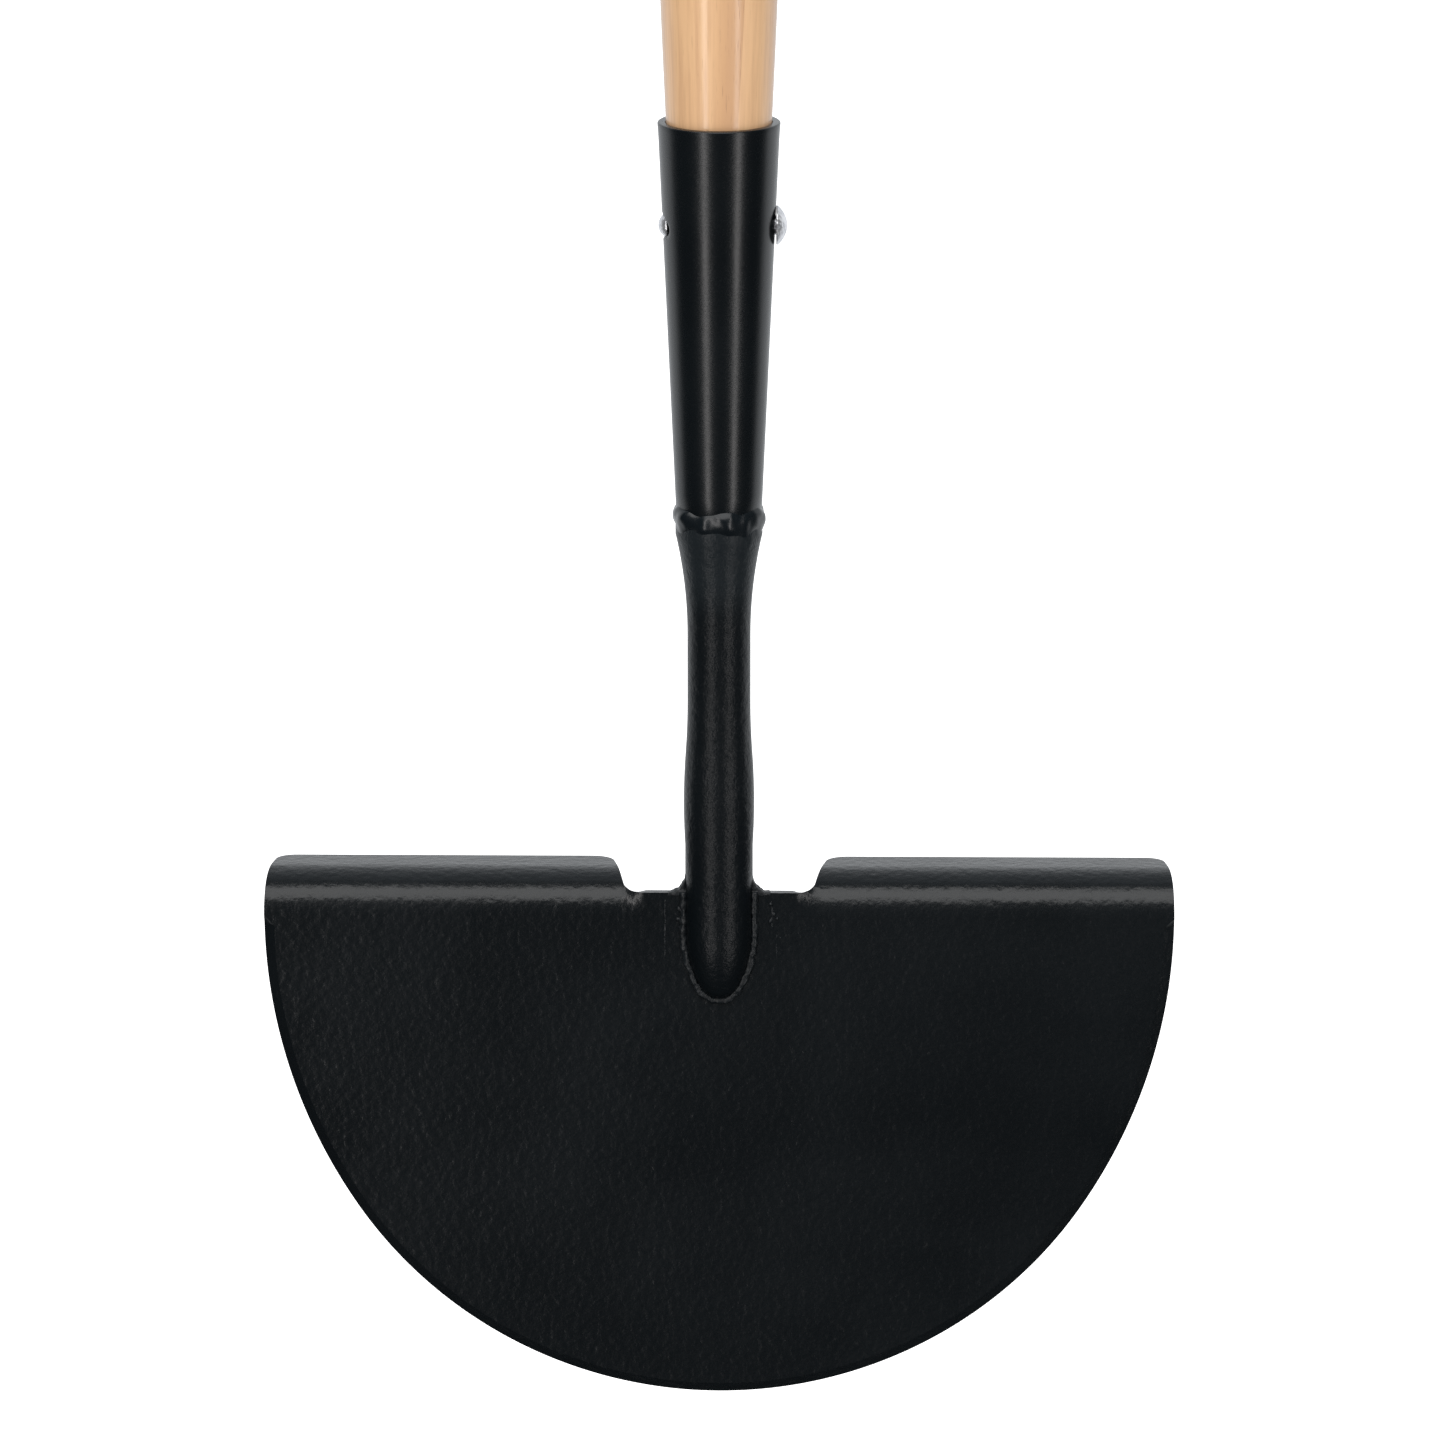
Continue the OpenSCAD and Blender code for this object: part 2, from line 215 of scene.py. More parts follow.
for column in COLUMNS:
    for side in (-1, 1):
        pick(blade, "FACE", lambda face: face.calc_center_median().z > FOLD_Z)
        bpy.ops.mesh.bisect(plane_co=(side * column * MM, 0, 0), plane_no=(1, 0, 0))


def fold_share(x):
    """How much of the fold a point takes: none behind the stem, all of it in the treads."""
    u = (round(abs(x), 5) - STAYS_FLAT_X) / (FOLDS_FULLY_X - STAYS_FLAT_X)
    u = min(1, max(0, u))
    return u * u * (3 - 2 * u)


shape = bmesh.from_edit_mesh(blade.data)
runs_out = set()
for v in shape.verts:
    if v.co.z > FOLD_Z + 0.01 * MM and 0 < fold_share(v.co.x) < 1:
        runs_out.add(round(abs(v.co.x), 5))
for row_z, turn in reversed(rows):
    above = row_z + 0.01 * MM
    pick(blade, "VERT", lambda v: v.co.z > above and fold_share(v.co.x) == 1)
    pivot = (0, FACE_Y, row_z)
    bpy.ops.transform.rotate(value=math.radians(turn), orient_axis="X", center_override=pivot)
    for x in sorted(runs_out):
        pick(blade, "VERT", lambda v: v.co.z > above and round(abs(v.co.x), 5) == x)
        share = math.radians(turn) * fold_share(x)
        bpy.ops.transform.rotate(value=share, orient_axis="X", center_override=pivot)
bpy.ops.object.mode_set(mode="OBJECT")
finish_with(blade, "SOLIDIFY", {"thickness": PLATE_T, "offset": -1, "use_even_offset": True})
open_up(blade)
bpy.ops.mesh.select_mode(type="VERT")
edge_group = blade.vertex_groups["cutting edge"].index
shape = bmesh.from_edit_mesh(blade.data)
weights = shape.verts.layers.deform.verify()
front = FACE_Y + 0.1 * MM
pick(blade, "VERT", lambda v: edge_group in v[weights] and v.co.y < front)
bpy.ops.transform.translate(value=(0, GROUND_D, 0))

# Only the front is ground: the back below the fold becomes one flat face again.
pick(blade, "FACE", lambda face: face.calc_center_median().z < FOLD_Z
     and all(abs(v.co.y + FACE_Y) < 0.01 * MM for v in face.verts))
bpy.ops.mesh.dissolve_faces(use_verts=False)
bpy.ops.mesh.select_mode(type="VERT")
bpy.ops.object.mode_set(mode="OBJECT")
finish_with(blade, "BEVEL", {"width": 0.45 * MM, "segments": 3, "limit_method": "ANGLE",
                             "angle_limit": math.radians(45)})
smooth(blade, 30)
finish_with(blade, "WEIGHTED_NORMAL", {"keep_sharp": True})


class Tone:
    """A number or colour that varies over a surface, so that its maths reads as plain sums."""

    def __init__(self, tree, socket=None):
        self.tree = tree
        self.socket = socket

    def node(self, kind, settings, sockets, out=0):
        """Any node, from its type, its settings, and the values or links of its sockets."""
        made = self.tree.nodes.new(kind)
        for name, value in settings.items():
            if name == "stops":
                while len(made.color_ramp.elements) < len(value):
                    made.color_ramp.elements.new(0.5)
                for stop, (place, colour) in zip(made.color_ramp.elements, value):
                    stop.position = place
                    stop.color = (*colour, 1)
            else:
                setattr(made, name, value)
        for name, value in sockets.items():
            if isinstance(value, Tone):
                self.tree.links.new(value.socket, made.inputs[name])
            else:
                made.inputs[name].default_value = value
        return Tone(self.tree, made.outputs[out])

    def maths(self, operation, a, b):
        return self.node("ShaderNodeMath", {"operation": operation}, {0: a, 1: b})

    def __add__(self, other):
        return self.maths("ADD", self, other)

    def __radd__(self, other):
        return self.maths("ADD", other, self)

    def __sub__(self, other):
        return self.maths("SUBTRACT", self, other)

    def __rsub__(self, other):
        return self.maths("SUBTRACT", other, self)

    def __mul__(self, other):
        return self.maths("MULTIPLY", self, other)

    def __rmul__(self, other):
        return self.maths("MULTIPLY", other, self)

    def between(self, low, high):
        """0 below the low value, 1 above the high one, and an easy slope between."""
        given = {"Value": self, "From Min": low, "From Max": high}
        return self.node("ShaderNodeMapRange", {"interpolation_type": "SMOOTHSTEP"}, given)

    def blend(self, low, high):
        """A colour between two, by this share."""
        return self.node("ShaderNodeMix", {"data_type": "RGBA"}, {0: self, 6: low, 7: high}, 2)

    def noise(self, place, size, detail=2, roughness=0.5):
        """Cloudy noise whose blotches are about a size across."""
        given = {"Vector": place, "Scale": 1 / size, "Detail": detail, "Roughness": roughness}
        return self.node("ShaderNodeTexNoise", {}, given)

    def bump(self, height):
        """Normals for a height given in millimetres."""
        return self.node("ShaderNodeBump", {}, {"Height": height, "Strength": 1.0, "Distance": MM})


def new_finish(name):
    """A new material: its pen for writing tones, its shader's sockets, and the place on the piece."""
    made = bpy.data.materials.new(name)
    made.use_nodes = True
    pen = Tone(made.node_tree)
    shader = made.node_tree.nodes["Principled BSDF"].inputs
    place = pen.node("ShaderNodeTexCoord", {}, {}, 3)
    return made, pen, shader, place


def feed(tone, socket):
    tone.tree.links.new(tone.socket, socket)


def rgb(red, green, blue):
    return (red, green, blue, 1)


def black_coat(name, gloss, peel, grit, haze=1, painted_sheen_above=None):
    """Black powder coat: orange peel and finer grit, in millimetres, and uneven gloss and tint.

    Haze lifts the black, and above a given height the coat's colour is painted lighter and greyer, a
    painted sheen for the light that an upturned surface catches.
    """
    made, pen, shader, place = new_finish(name)
    clouds = pen.noise(place, 45 * MM, 3)
    flow = pen.noise(place, 1.9 * MM, 2, 0.45)
    specks = pen.noise(place, 0.55 * MM, 2, 0.6)
    dark = rgb(0.0016 * haze, 0.0030 * haze, 0.0041 * haze)
    tint = clouds.between(0.3, 0.7).blend(dark, rgb(0.0026 * haze, 0.0044 * haze, 0.0058 * haze))
    if painted_sheen_above:
        # Painted sheen: above the given height the base colour is painted lighter and greyer, standing in
        # for the light on the upturned flare.
        up = pen.node("ShaderNodeSeparateXYZ", {}, {"Vector": place}, 2)
        painted_sheen = up.between(painted_sheen_above - 6 * MM, painted_sheen_above + 8 * MM) * (0.5 + specks)
        tint = painted_sheen.blend(tint, rgb(0.0085, 0.0120, 0.0145))
    worn = specks.between(0.62, 0.78) * 0.35
    feed(worn.blend(tint, rgb(0.006, 0.0076, 0.009)), shader["Base Color"])
    feed(gloss + (clouds - 0.5) * 0.10 + (specks - 0.5) * 0.12, shader["Roughness"])
    feed(pen.bump(flow * peel + specks * grit), shader["Normal"])
    shader["IOR"].default_value = 1.5
    return made


blade.data.materials.clear()
blade.data.materials.append(black_coat("blade powder coat", 0.28, 0.17, 0.03))
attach(blade, "root")
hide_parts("blade")


# ---- stem ----
# A length of steel tube, swaged to a waist and flared to meet the socket. Its
# lower end is closed to a rounded nose and slit, so it straddles the plate,
# and it carries a coarser coat than the socket, over a forged skin.
stem_low, stem_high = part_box("stem")
WAIST_R = 7.88 * MM
SWELL_R = 8.83 * MM
LOWER_R = 8.49 * MM
SWELL_Z = 154 * MM
SWELL_RUN = 13 * MM
SWELL_DROP = 11 * MM
SWELL_ARC_R = (SWELL_RUN**2 + ((SWELL_R - WAIST_R) / 2)**2) / (SWELL_R - WAIST_R)
FLARE_Z = 197 * MM
FLARE_ARC_R = 115 * MM
COLLAR_Z = 223 * MM
COLLAR_BORE_R = 8.65 * MM
NOSE_Z = 120.5 * MM
NOSE_ARC_R = 30 * MM
BORE_R = 5.9 * MM
BORE_END = 3.5 * MM
PAINTED_SHEEN_Z = 206 * MM
SEGMENTS = 128
nose_back = LOWER_R - NOSE_ARC_R
nose_len = NOSE_Z - stem_low.z
NOSE_TIP_R = (NOSE_ARC_R**2 - nose_back**2 - nose_len**2) / (2 * (NOSE_ARC_R - nose_len))


def arc_rings(centre_r, centre_z, radius, first, last, steps):
    """(radius, height) pairs along an arc, between two angles in degrees."""
    pairs = []
    for n in range(steps + 1):
        a = math.radians(first + (last - first) * n / steps)
        pairs.append((centre_r + radius * math.cos(a), centre_z + radius * math.sin(a)))
    return pairs


def turn_piece(name, rings, closed=False):
    """A round piece about the tool's axis: a circle pulled and resized ring by ring."""
    bpy.ops.object.select_all(action="DESELECT")
    fill = "NOTHING" if closed else "NGON"
    bpy.ops.mesh.primitive_circle_add(
        vertices=SEGMENTS, radius=rings[0][0], fill_type=fill,
        location=(0, 0, rings[0][1]), rotation=(0, 0, math.pi / SEGMENTS))
    bpy.ops.object.transform_apply(location=True, rotation=True, scale=True)
    piece = bpy.context.object
    piece.name = name
    bpy.ops.object.mode_set(mode="EDIT")
    for (r0, z0), (r1, z1) in zip(rings, rings[1:]):
        bpy.ops.mesh.extrude_region_move(TRANSFORM_OT_translate={"value": (0, 0, z1 - z0)})
        wider = (r1 / r0, r1 / r0, 1)
        bpy.ops.transform.resize(value=wider, center_override=(0, 0, z1))
    bpy.ops.mesh.select_all(action="SELECT")
    bpy.ops.mesh.remove_doubles(threshold=0.001 * MM)
    bpy.ops.mesh.normals_make_consistent(inside=False)
    bpy.ops.object.mode_set(mode="OBJECT")
    return piece


nose_join = math.degrees(math.atan2(NOSE_Z - stem_low.z - NOSE_TIP_R, -nose_back))
stem_rings = arc_rings(0, stem_low.z + NOSE_TIP_R, NOSE_TIP_R, -87, -nose_join, 10)
stem_rings += arc_rings(nose_back, NOSE_Z, NOSE_ARC_R, -nose_join, 0, 10)[1:]
swell_low = math.degrees(math.asin(SWELL_DROP / SWELL_ARC_R))
swell_high = math.degrees(math.asin(SWELL_RUN / SWELL_ARC_R))
stem_rings += arc_rings(SWELL_R - SWELL_ARC_R, SWELL_Z, SWELL_ARC_R, -swell_low, swell_high, 10)
waist_arc_z = SWELL_Z + 2 * SWELL_RUN
stem_rings += arc_rings(WAIST_R + SWELL_ARC_R, waist_arc_z, SWELL_ARC_R, 180 + swell_high, 180, 8)[1:]
flare_turn = math.degrees(math.asin((COLLAR_Z - FLARE_Z) / FLARE_ARC_R))
stem_rings += arc_rings(WAIST_R + FLARE_ARC_R, FLARE_Z, FLARE_ARC_R, 180, 180 - flare_turn, 12)
stem_rings += [(stem_rings[-1][0], stem_high.z)]
stem_rings += [(COLLAR_BORE_R, stem_high.z), (COLLAR_BORE_R, COLLAR_Z), (BORE_R, FLARE_Z)]
stem_rings += [(BORE_R, NOSE_Z - BORE_END), (BORE_R / 2, NOSE_Z - 2 * BORE_END)]
stem = turn_piece("stem_tube", stem_rings)


def cut_out(piece, low, high):
    """Cuts a straight-sided opening out of a piece."""
    bpy.ops.object.select_all(action="DESELECT")
    bpy.ops.mesh.primitive_cube_add(size=1, location=(low + high) / 2, scale=high - low)
    bpy.ops.object.transform_apply(location=True, rotation=True, scale=True)
    tool = bpy.context.object
    finish_with(piece, "BOOLEAN", {"object": tool, "operation": "DIFFERENCE", "solver": "EXACT"})
    bpy.data.objects.remove(tool)


# The slit takes the plate, and runs right across the nose.
SLIT_HALF = 20 * MM
slit_low = Vector((-SLIT_HALF, FACE_Y, 90 * MM))
cut_out(stem, slit_low, Vector((SLIT_HALF, -FACE_Y, NOTCH_Z)))
smooth(stem, 35)
# Above the flare's foot the stem's coat colour is painted lighter and greyer, as painted sheen for the
# overhead light on the flare.
stem_coat = black_coat("stem powder coat", 0.35, 0.20, 0.10, 1, PAINTED_SHEEN_Z)
stem_coat.node_tree.nodes["Principled BSDF"].inputs["Specular IOR Level"].default_value = 0.27
stem.data.materials.clear()
stem.data.materials.append(stem_coat)
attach(stem, "root")
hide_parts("stem")


# ---- blade weld ----
# Filler metal laid by hand round the nose of the stem, front and back, and
# over the plate's top edge. It is lumpy, with grains of spatter and a faint
# toe line on the plate either side, and was coated together with the steel.
BEAD_R = 0.95 * MM
FILLET_R = 4.4 * MM
FILLET_HALF_T = 1.55 * MM
BEAD_OUT = 0.35 * MM


def tube_from(piece, radius):
    """Turns the drawn line into a round rod along it, with closed ends."""
    bpy.ops.object.mode_set(mode="OBJECT")
    bpy.ops.object.convert(target="CURVE")
    line = bpy.context.object
    line.data.bevel_depth = radius
    line.data.bevel_resolution = 5
    line.data.use_fill_caps = True
    bpy.ops.object.convert(target="MESH")
    return bpy.context.object


def nose_bead(name, y, side_gap):
    """A bead that follows the outline of the stem's nose at one face of the plate."""
    top = NOTCH_Z + 0.3 * MM
    bead = start_point(name, (-LOWER_R - side_gap, y, top))
    line_by(0, NOSE_Z - top)
    arc_round(-nose_back, y, NOSE_Z, nose_join, 14)
    arc_round(0, y, stem_low.z + NOSE_TIP_R, 180 - 2 * nose_join, 16)
    arc_round(nose_back, y, NOSE_Z, nose_join, 14)
    line_by(0, top - NOSE_Z)
    return tube_from(bead, BEAD_R)


weld_parts = [nose_bead("front bead", FACE_Y - 0.1 * MM, BEAD_OUT)]
weld_parts.append(nose_bead("back bead", -FACE_Y + 0.1 * MM, BEAD_OUT))
for side in (-1, 1):
    # Fillet in the corner between the stem and the plate's top edge.
    toe = side * (LOWER_R + FILLET_R)
    start_point("fillet", (toe, 0, NOTCH_Z))
    arc_round(toe, 0, NOTCH_Z + FILLET_R, -side * 90, 10)
    line_by(-side * 0.6 * MM, 0)
    line_by(0, -FILLET_R - 0.8 * MM)
    line_by(side * (FILLET_R + 0.6 * MM), 0)
    bpy.ops.mesh.select_all(action="SELECT")
    bpy.ops.mesh.edge_face_add()
    bpy.ops.transform.translate(value=(0, -FILLET_HALF_T, 0))
    bpy.ops.mesh.extrude_region_move(TRANSFORM_OT_translate={"value": (0, 2 * FILLET_HALF_T, 0)})
    bpy.ops.mesh.select_all(action="SELECT")
    bpy.ops.mesh.normals_make_consistent(inside=False)
    bpy.ops.object.mode_set(mode="OBJECT")
    weld_parts.append(bpy.context.object)

# Toe lines and grains of spatter on the plate, as place and radius in millimetres.
TOE_LINES = ((-13.6, 113.5, 129, 0.22), (13.3, 121, 129.5, 0.25), (14.4, 114, 120, 0.2))
SPATTER = ((13.1, 127.9, 0.55), (13.9, 125.3, 0.5), (14.7, 124.2, 0.4), (12.9, 123.4, 0.55),
           (-10.1, 126.6, 0.6), (-10.3, 124.1, 0.55), (-10.0, 121.9, 0.5), (15.4, 119.2, 0.3))
for x, low, high, radius in TOE_LINES:
    toe_line = start_point("toe line", (x * MM, FACE_Y + 0.08 * MM, low * MM))
    for n in range(8):
        line_by(0.12 * MM * math.sin(2.1 * n), (high - low) * MM / 8)
    weld_parts.append(tube_from(toe_line, radius * MM))
for x, z, radius in SPATTER:
    bpy.ops.object.select_all(action="DESELECT")
    bpy.ops.mesh.primitive_ico_sphere_add(
        subdivisions=3, radius=radius * MM, location=(x * MM, FACE_Y + 0.05 * MM, z * MM))
    bpy.ops.object.transform_apply(location=True, rotation=True, scale=True)
    weld_parts.append(bpy.context.object)


def join_parts(name, parts):
    """Joins loose parts into one piece."""
    bpy.ops.object.select_all(action="DESELECT")
    for part in parts:
        part.select_set(True)
    bpy.context.view_layer.objects.active = parts[0]
    bpy.ops.object.join()
    parts[0].name = name
    parts[0].data.name = name
    return parts[0]


def lumps(name, size):
    """Soft clouds that raise and sink weld metal."""
    made = bpy.data.textures.new(name, "CLOUDS")
    made.noise_scale = size
    made.noise_depth = 1
    return made


blade_weld = join_parts("blade_weld_bead", weld_parts)
finish_with(blade_weld, "REMESH", {"mode": "VOXEL", "voxel_size": 0.2 * MM})
finish_with(blade_weld, "DISPLACE", {"texture": lumps("bead lumps", 1.4 * MM), "strength": 0.8 * MM,
                                     "mid_level": 0.5, "texture_coords": "LOCAL"})
finish_with(blade_weld, "SMOOTH", {"factor": 0.5, "iterations": 3})
smooth(blade_weld, 60)
blade_weld.data.materials.clear()
blade_weld.data.materials.append(black_coat("weld powder coat", 0.46, 0.08, 0.04, 1.6))
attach(blade_weld, "root")
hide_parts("blade_weld")


# ---- socket weld ----
# A ring of weld metal that joins the stem's collar to the socket. It was laid
# in short runs, so it stands in uneven, glossy lumps, with pits under them.
RING_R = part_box("socket_weld")[1].x
RING_MID = 227.9 * MM
SECTION = 2.8 * MM
INSIDE_R = 8.9 * MM
SLOPE = ((1.7, 222.3), (1.15, 223.2), (0.85, 224.1), (0.55, 225.0), (0.25, 226.0), (0.08, 226.9))
ring_rings = [(RING_R - inward * MM, z * MM) for inward, z in SLOPE]
ring_rings += arc_rings(RING_R - SECTION, RING_MID, SECTION, 0, 75, 12)
ring_rings += [(INSIDE_R, ring_rings[-1][1]), (INSIDE_R, ring_rings[0][1]), ring_rings[0]]
socket_weld = turn_piece("socket_weld_bead", ring_rings, closed=True)
finish_with(socket_weld, "SUBSURF", {"levels": 1, "render_levels": 1})
finish_with(socket_weld, "DISPLACE", {"texture": lumps("ring lumps", 5.5 * MM), "strength": 1.6 * MM,
                                      "mid_level": 0.55, "texture_coords": "LOCAL"})
finish_with(socket_weld, "SMOOTH", {"factor": 0.5, "iterations": 6})
smooth(socket_weld, 60)
socket_weld.data.materials.clear()
socket_weld.data.materials.append(black_coat("ring weld powder coat", 0.25, 0.02, 0.01, 1.5))
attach(socket_weld, "root")
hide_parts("socket_weld")


# ---- socket ----
# Sheet steel rolled to a taper that takes the handle, with its butt seam down
# the back. The setting tool has pressed a dimple under the rivet's set head,
# and the rim is belled slightly. Its skin is smooth, so its coat is glossier.
socket_low, socket_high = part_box("socket")
rivet_low, rivet_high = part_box("rivet")
RIVET_Z = (rivet_low.z + rivet_high.z) / 2
SOCKET_R0 = 10.65 * MM
SOCKET_R1 = 15.15 * MM
WALL = 2 * MM
TAPER = (SOCKET_R1 - SOCKET_R0) / (socket_high.z - socket_low.z)
RIM_ROUND = 0.4 * MM
RIM_EASE = 0.15 * MM
BELL = 0.12 * MM
BELL_TALL = 5 * MM
DIMPLE_D = 1.9 * MM
DIMPLE_R = 3.1 * MM
DIMPLE_WIDE = 2.1
SEAM_D = 0.5 * MM


def socket_r(z):
    """Outside radius of the socket at a height."""
    return SOCKET_R0 + TAPER * (z - socket_low.z)


heights = [socket_low.z, socket_low.z + 0.4 * MM]
heights += [socket_low.z + n * 6 * MM for n in range(1, 10)]
heights += [RIVET_Z + n * 0.7 * MM for n in range(-14, 15)]
heights += [RIVET_Z + 12 * MM, RIVET_Z + 16 * MM, RIVET_Z + 20 * MM, socket_high.z - BELL_TALL]
heights += [socket_high.z - 3 * MM, socket_high.z - 1.5 * MM, socket_high.z - RIM_ROUND]
socket_rings = [(socket_r(heights[0]) - WALL, heights[0]), (socket_r(heights[0]) - 0.3 * MM, heights[0])]
for z in heights[1:]:
    bell = max(0, 1 - (socket_high.z - z) / BELL_TALL)
    socket_rings.append((socket_r(z) + BELL * bell * bell, z))
rim_r = socket_rings[-1][0]
socket_rings += arc_rings(rim_r - RIM_ROUND, socket_high.z - RIM_ROUND, RIM_ROUND, 0, 90, 4)[1:]
socket_rings += [(rim_r - WALL + RIM_EASE, socket_high.z), (rim_r - WALL, socket_high.z - RIM_EASE)]
socket_rings += [(socket_r(RIVET_Z) - WALL, RIVET_Z), socket_rings[0]]
socket = turn_piece("socket_tube", socket_rings, closed=True)
open_up(socket)
pick(socket, "FACE", lambda face: abs(face.calc_center_median().x) < 0.1 * MM
     and face.calc_center_median().y > 0 and face.normal.y > 0.3)
bpy.ops.mesh.extrude_region_move(TRANSFORM_OT_translate={"value": (0, -SEAM_D, 0)})
dimple_x = -socket_r(RIVET_Z)


def from_rivet(v):
    """Distance of a point on the socket's left from the rivet's middle, less across than up."""
    return math.hypot(v.co.y / DIMPLE_WIDE, v.co.z - RIVET_Z) if v.co.x < 0 else 1


dimple_floor = dimple_x + DIMPLE_D
pick(socket, "VERT", lambda v: from_rivet(v) < DIMPLE_R and v.co.x < dimple_floor)
bpy.ops.transform.resize(value=(0, 1, 1), center_override=(dimple_floor, 0, RIVET_Z))
bpy.ops.object.mode_set(mode="OBJECT")
smooth(socket, 40)
socket.data.materials.clear()
socket.data.materials.append(black_coat("socket powder coat", 0.27, 0.02, 0.006))
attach(socket, "root")
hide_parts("socket")


# ---- rivet ----
# One solid steel rivet, bright zinc plated. Its factory head is a full dome on
# the right, and its shank goes through both walls and the wood to the set
# head on the left, which sits in the dimple. Under the set head the shank is
# painted black, as painted shade in the gap against the socket.
SHANK_R = 2.4 * MM
HEAD_R = 4.9 * MM
HEAD_H = 2.7 * MM
SET_R = 3.1 * MM
SET_H = 2.3 * MM


def dome_rings(base_r, tall, foot, way):
    """Rings of a low dome on a short straight lip, rising one way from its foot."""
    lip = 0.35 * MM
    rise = tall - lip
    ball = (base_r**2 + rise**2) / (2 * rise)
    reach = math.degrees(math.asin(base_r / ball))
    pairs = [(base_r - 0.12 * MM, foot), (base_r, foot + way * 0.12 * MM)]
    for r, z in arc_rings(0, lip + rise - ball, ball, 90 - reach, 87, 10):
        pairs.append((r, foot + way * z))
    return pairs


set_foot = rivet_low.x + SET_H
head_foot = rivet_high.x - HEAD_H
rivet_rings = dome_rings(SET_R, SET_H, set_foot, -1)[::-1]
rivet_rings += [(SHANK_R, set_foot), (SHANK_R, head_foot)]
rivet_rings += dome_rings(HEAD_R, HEAD_H, head_foot, 1)
rivet = turn_piece("rivet_pin", rivet_rings)
open_up(rivet)
bpy.ops.mesh.select_all(action="SELECT")
bpy.ops.transform.rotate(value=-math.radians(90), orient_axis="Y", center_override=(0, 0, 0))
bpy.ops.transform.translate(value=(0, 0, RIVET_Z))
bpy.ops.object.mode_set(mode="OBJECT")
smooth(rivet, 35)
plated, pen, shader, place = new_finish("zinc plate")
blush = pen.noise(place, 1.6 * MM, 3)
dents = pen.noise(place, 0.9 * MM, 1)
scuffs = pen.noise(place, 0.25 * MM, 2)
across = pen.node("ShaderNodeSeparateXYZ", {}, {"Vector": place}, 0)
bare = blush.between(0.3, 0.7).blend(rgb(0.62, 0.63, 0.66), rgb(0.90, 0.90, 0.92))
# Painted shade: the shank between the set head and the factory head is coloured black for the shadowed gap
# under the set head.
past_set_foot = across.between(set_foot - 0.1 * MM, set_foot + 0.1 * MM)
painted_shade_shank = past_set_foot * (1 - across.between(head_foot - MM, head_foot))
feed(painted_shade_shank.blend(bare, rgb(0.004, 0.005, 0.006)), shader["Base Color"])
feed(0.20 + scuffs * 0.14 + blush * 0.10, shader["Roughness"])
feed(pen.bump(dents * 0.22 + scuffs * 0.015), shader["Normal"])
shader["Metallic"].default_value = 0.85
rivet.data.materials.clear()
rivet.data.materials.append(plated)
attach(rivet, "root")
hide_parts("rivet")


# ---- handle ----
# A turned ash pole, tapered at the bottom to drive into the socket and rounded
# at the top. It is sanded and clear lacquered, so the grain shows through.
handle_low, handle_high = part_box("handle")
SHAFT_R = handle_high.x
EASE_R = 1960 * MM
END_R = 12 * MM
taper_angle = math.atan(TAPER)
ease_join_r = SHAFT_R - EASE_R * (1 - math.cos(taper_angle))
ease_join_z = socket_high.z + (ease_join_r - SOCKET_R1 + WALL) / TAPER
ease_top_z = ease_join_z + EASE_R * math.sin(taper_angle)
handle_rings = [(socket_r(handle_low.z) - WALL - 0.5 * MM, handle_low.z)]
handle_rings += [(socket_r(handle_low.z) - WALL, handle_low.z + 0.5 * MM)]
handle_rings += [(socket_r(socket_high.z) - WALL, socket_high.z)]
handle_rings += arc_rings(SHAFT_R - EASE_R, ease_top_z, EASE_R, -math.degrees(taper_angle), 0, 10)
handle_rings += [(SHAFT_R, ease_top_z + n * 90 * MM) for n in range(1, 11)]
handle_rings += arc_rings(SHAFT_R - END_R, handle_high.z - END_R, END_R, 0, 88, 14)
handle = turn_piece("handle_pole", handle_rings)
smooth(handle, 40)

ash, pen, shader, place = new_finish("lacquered ash")
stretch = pen.node("ShaderNodeMapping", {}, {"Vector": place, "Scale": (1, 1, 0.035)})
warp = pen.node("ShaderNodeVectorMath", {"operation": "MULTIPLY_ADD"},
                {0: pen.node("ShaderNodeTexNoise", {}, {"Vector": stretch, "Scale": 1 / (16 * MM)}, 1),
                 1: (0.008, 0.008, 0), 2: place})
# The heart of the tree lies well outside the pole, so the rings cross it as bands.
heart = pen.node("ShaderNodeMapping", {}, {"Vector": warp, "Location": (0.034, 0.052, 0),
                                           "Rotation": (0.012, -0.009, 0)})
rings = pen.node("ShaderNodeTexWave", {"wave_type": "RINGS", "rings_direction": "Z", "wave_profile": "SAW"},
                 {"Vector": heart, "Scale": 1 / (2 * math.pi * 0.72 * MM) / 10, "Distortion": 0.0}, 1)
fibre = pen.node("ShaderNodeMapping", {}, {"Vector": place, "Scale": (1, 1, 0.02)})
pores = pen.noise(fibre, 0.32 * MM, 2, 0.6)
streaks = pen.noise(fibre, 1.3 * MM, 3, 0.55)
blotch = pen.noise(stretch, 22 * MM, 2)
late = rings.between(0.55, 0.98)
wood = late.blend(rgb(0.70, 0.43, 0.225), rgb(0.50, 0.265, 0.125))
wood = (streaks.between(0.35, 0.70) * 0.55).blend(wood, rgb(0.52, 0.285, 0.145))
wood = (blotch.between(0.3, 0.75) * 0.30).blend(wood, rgb(0.78, 0.52, 0.30))
open_pores = pores.between(0.60, 0.75) * (0.25 + late * 0.55)
wood = open_pores.blend(wood, rgb(0.36, 0.19, 0.095))
feed(wood, shader["Base Color"])
feed(0.40 + pores * 0.12, shader["Roughness"])
feed(pen.bump(streaks * 0.02 - open_pores * 0.03), shader["Normal"])
shader["Coat Weight"].default_value = 0.85
shader["Coat Roughness"].default_value = 0.17
handle.data.materials.clear()
handle.data.materials.append(ash)
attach(handle, "root")
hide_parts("handle")


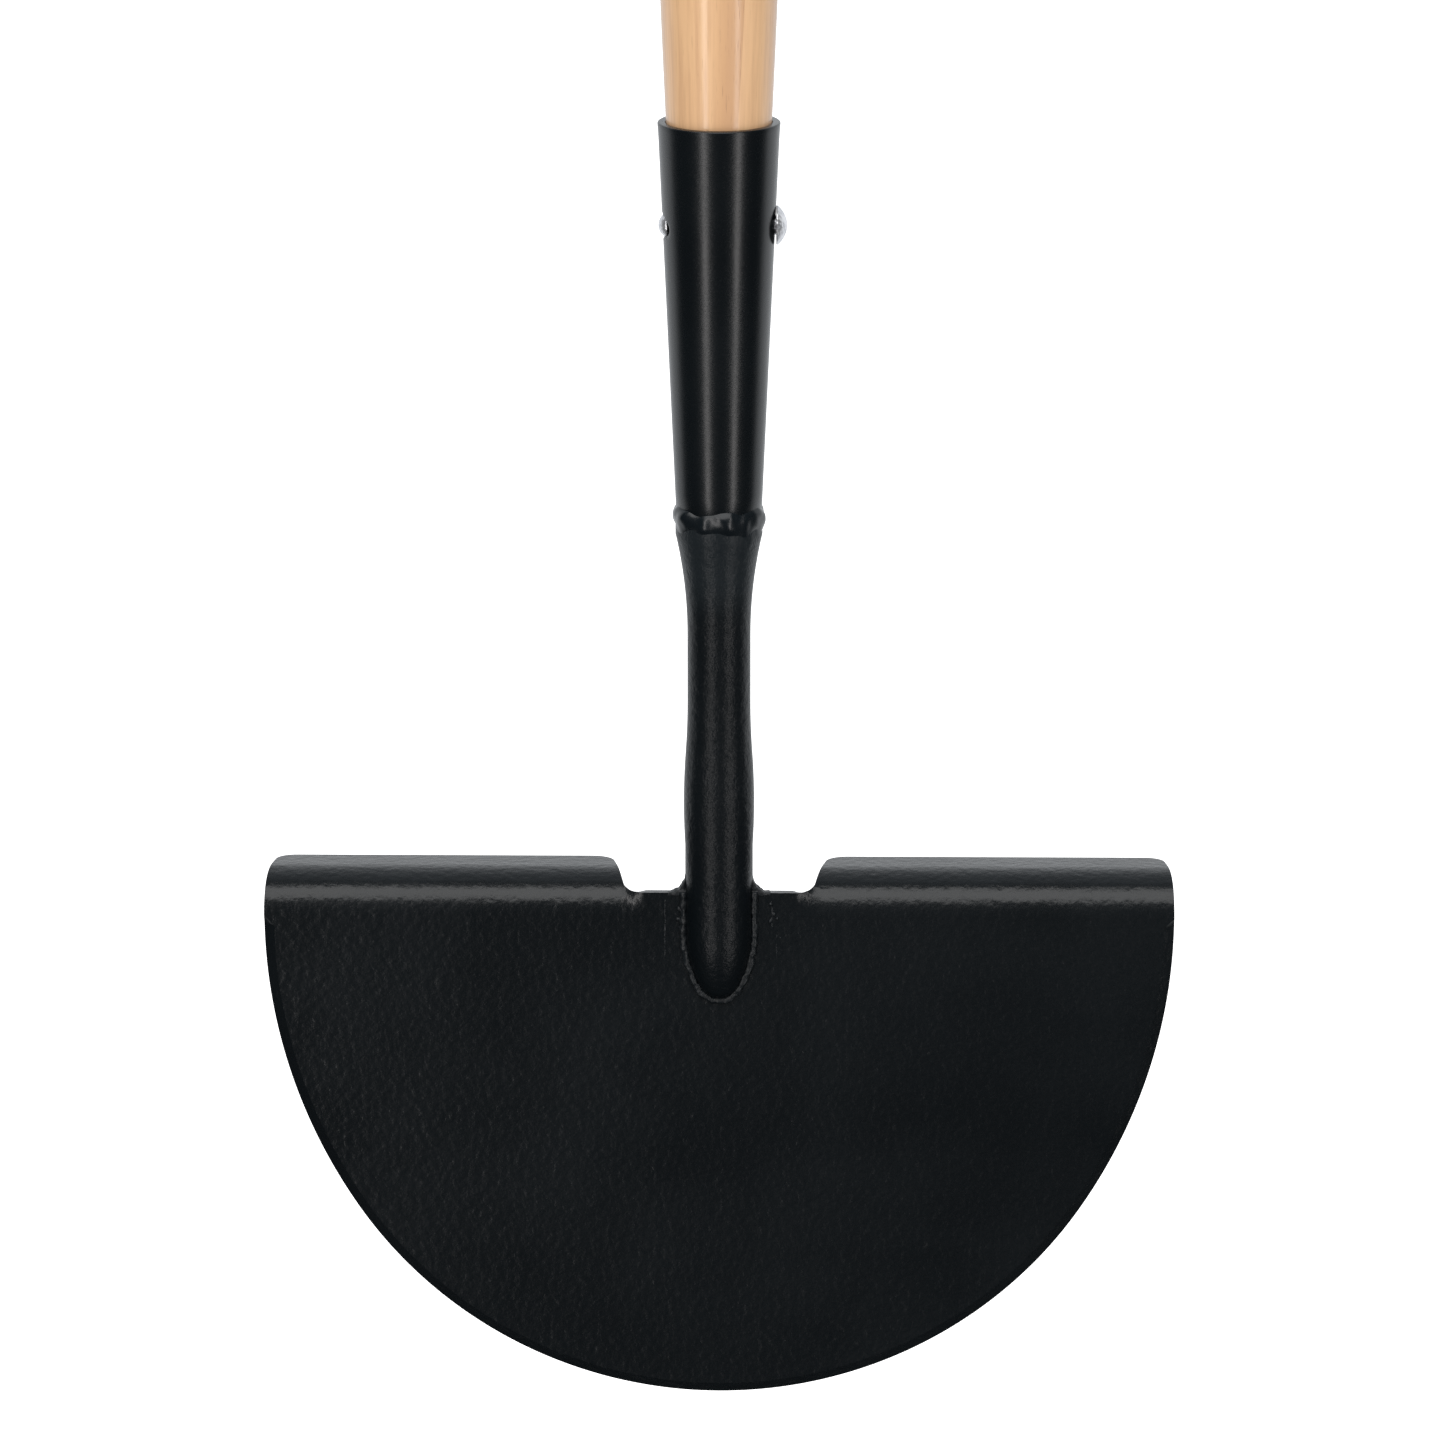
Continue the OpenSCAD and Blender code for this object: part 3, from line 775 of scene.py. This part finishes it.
# ---- floor, lights and camera ----
# A plain white floor well below the tool, two tall strip lights in front for
# the long highlights on the round parts, and a wide soft light overhead.
FLOOR_Z = -0.3
bpy.ops.object.select_all(action="DESELECT")
bpy.ops.mesh.primitive_plane_add(size=80, location=(0, 0, FLOOR_Z))
floor = bpy.context.object
floor.name = "floor"
paper, pen, shader, place = new_finish("white paper")
feed(pen.noise(place, 0.4, 2).blend(rgb(0.90, 0.90, 0.90), rgb(0.93, 0.93, 0.93)), shader["Base Color"])
shader["Roughness"].default_value = 1
shader["Specular IOR Level"].default_value = 0
shader["Emission Color"].default_value = rgb(1, 1, 1)
shader["Emission Strength"].default_value = 1
floor.data.materials.append(paper)
floor.visible_glossy = False
floor.visible_diffuse = False
floor.visible_shadow = False

AIM = Vector((0.000875, 0, 0.17442))


def soft_light(name, azimuth, elevation, distance, width, height, brightness, tint=(1, 1, 1), slide=0):
    """A soft light aimed at the tool, then slid sideways. Azimuth 0 is the front, 90 the right."""
    made = bpy.data.lights.new(name, "AREA")
    made.shape = "RECTANGLE"
    made.size = width
    made.size_y = height
    made.energy = brightness * math.pi * width * height
    made.color = tint
    lamp = bpy.data.objects.new(name, made)
    a, e = math.radians(azimuth), math.radians(elevation)
    away = Vector((math.sin(a) * math.cos(e), -math.cos(a) * math.cos(e), math.sin(e)))
    lamp.location = AIM + away * distance
    lamp.rotation_euler = away.to_track_quat("Z", "Y").to_euler()
    lamp.location.x += slide
    lamp.visible_camera = False
    bpy.context.scene.collection.objects.link(lamp)
    return lamp


WARM = (1, 0.97, 0.96)
soft_light("left strip", -28, 0, 2.4, 0.42, 3.6, 4.4, WARM)
soft_light("right strip", 39, 0, 2.4, 0.40, 3.6, 4.2, WARM)
soft_light("overhead", 0, 62, 1.7, 1.8, 1.45, 2.1)
soft_light("overhead left", 0, 62, 1.7, 1.0, 1.45, 2.0, slide=-0.66)

world = bpy.data.worlds.new("studio")
world.use_nodes = True
bpy.context.scene.world = world
sky = Tone(world.node_tree)
way = sky.node("ShaderNodeTexCoord", {}, {}, 0)
depth = sky.node("ShaderNodeSeparateXYZ", {}, {"Vector": way}, 1)
rise = sky.node("ShaderNodeSeparateXYZ", {}, {"Vector": way}, 2)
seen = sky.node("ShaderNodeLightPath", {}, {}, 0)
soaked = sky.node("ShaderNodeLightPath", {}, {}, 2)
wall = rise.between(0.25, 0.85).blend(rgb(0.90, 0.93, 0.96), rgb(0.30, 0.32, 0.34))
around = depth.between(0.05, 0.45).blend(rgb(0.03, 0.032, 0.034), wall)
around = soaked.blend(around, rgb(0.53, 0.53, 0.53))
feed(seen.blend(around, rgb(1, 1, 1)), world.node_tree.nodes["Background"].inputs["Color"])

ELEVATION = math.radians(13.5)
TURN = math.radians(0.9)
DISTANCE = 2.75
level = math.cos(ELEVATION)
back = Vector((math.sin(TURN) * level, -math.cos(TURN) * level, math.sin(ELEVATION)))
camera_data = bpy.data.cameras.new("camera")
camera_data.sensor_width = 36
camera_data.lens = 274
camera_data.clip_end = 100
camera = bpy.data.objects.new("camera", camera_data)
camera.location = AIM + back * DISTANCE
camera.rotation_euler = back.to_track_quat("Z", "Y").to_euler()
bpy.context.scene.collection.objects.link(camera)
bpy.context.scene.camera = camera
bpy.context.scene.view_settings.view_transform = "Standard"
